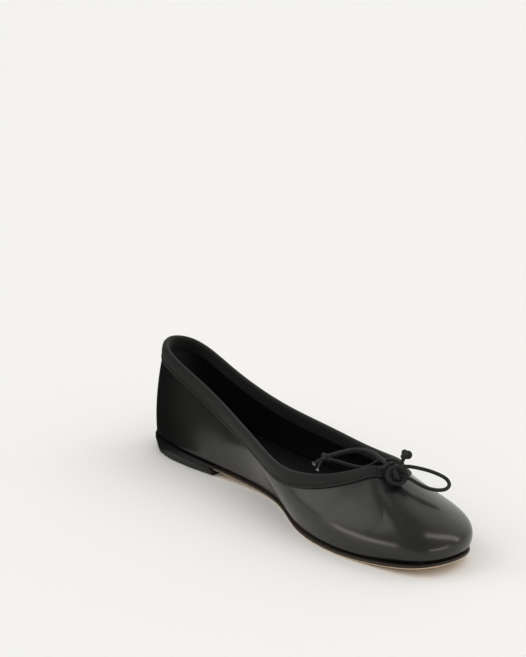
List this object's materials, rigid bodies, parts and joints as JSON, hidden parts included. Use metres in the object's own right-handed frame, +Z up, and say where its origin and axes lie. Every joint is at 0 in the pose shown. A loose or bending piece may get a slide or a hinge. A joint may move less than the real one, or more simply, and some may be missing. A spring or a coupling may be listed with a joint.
{
  "type": "ballet flat",
  "caption": "Left ballet flat in smooth black leather with a ribbed topline binding, a drawstring bow, a thin leather outsole and a low block heel.",
  "frame": {"origin": "on the floor, under the middle of the shoe's box, the bow left out", "axes": "+X to the toe, +Y to the shoe's left, which is its outer side, +Z up"},
  "size_m": [0.251, 0.0816, 0.0642],
  "materials": {
    "upper_leather": "smooth black leather, soft sheen",
    "binding_ribbon": "matt black ribbed ribbon",
    "sole_leather": "natural leather, matt, edge stained dark",
    "heel_block": "matt black",
    "insole_leather": "matt black",
    "bow_cord": "woven black cord"
  },
  "bodies": {
    "root": {"upper": "upper_leather", "topline_binding": "binding_ribbon", "outsole": "sole_leather", "heel": "heel_block", "insole": "insole_leather", "bow_knot": "bow_cord", "bow_loop_front": "bow_cord", "bow_loop_rear": "bow_cord", "bow_tail_long": "bow_cord", "bow_tail_short": "bow_cord", "tail_knot_long": "bow_cord", "tail_knot_short": "bow_cord"}
  },
  "joints": []
}
